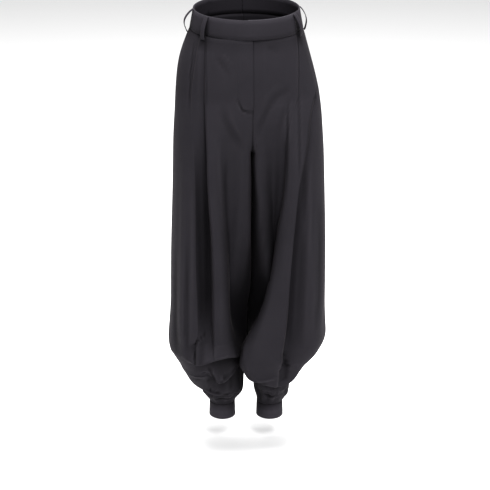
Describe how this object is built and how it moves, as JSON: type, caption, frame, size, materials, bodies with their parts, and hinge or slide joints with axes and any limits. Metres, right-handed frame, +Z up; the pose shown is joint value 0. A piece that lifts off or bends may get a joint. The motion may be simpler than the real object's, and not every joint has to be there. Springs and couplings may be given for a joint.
{
  "type": "barrel leg trousers",
  "caption": "Worn, hollow black barrel leg trousers with pleated fronts, a waistband with belt loops, and wide legs that blouse over narrow cuffs.",
  "frame": {"origin": "middle of the waist at the waistband's top edge, where a wearer holds the trousers up", "axes": "+Z up along the legs towards the waist, -Y out of the front, +X to the wearer's left"},
  "size_m": [0.3951, 0.2728, 1.0601],
  "materials": {
    "wool_leg": "matte",
    "wool_pressed": "matte"
  },
  "bodies": {
    "root": {"front_right": "wool_leg", "front_left": "wool_leg", "back_right": "wool_leg", "back_left": "wool_leg", "waistband_right": "wool_pressed", "waistband_left": "wool_pressed", "cuff_right": "wool_pressed", "cuff_left": "wool_pressed", "belt_loop_front_right": "wool_pressed", "belt_loop_front_left": "wool_pressed", "belt_loop_side_right": "wool_pressed", "belt_loop_side_left": "wool_pressed", "belt_loop_back": "wool_pressed"}
  },
  "joints": []
}
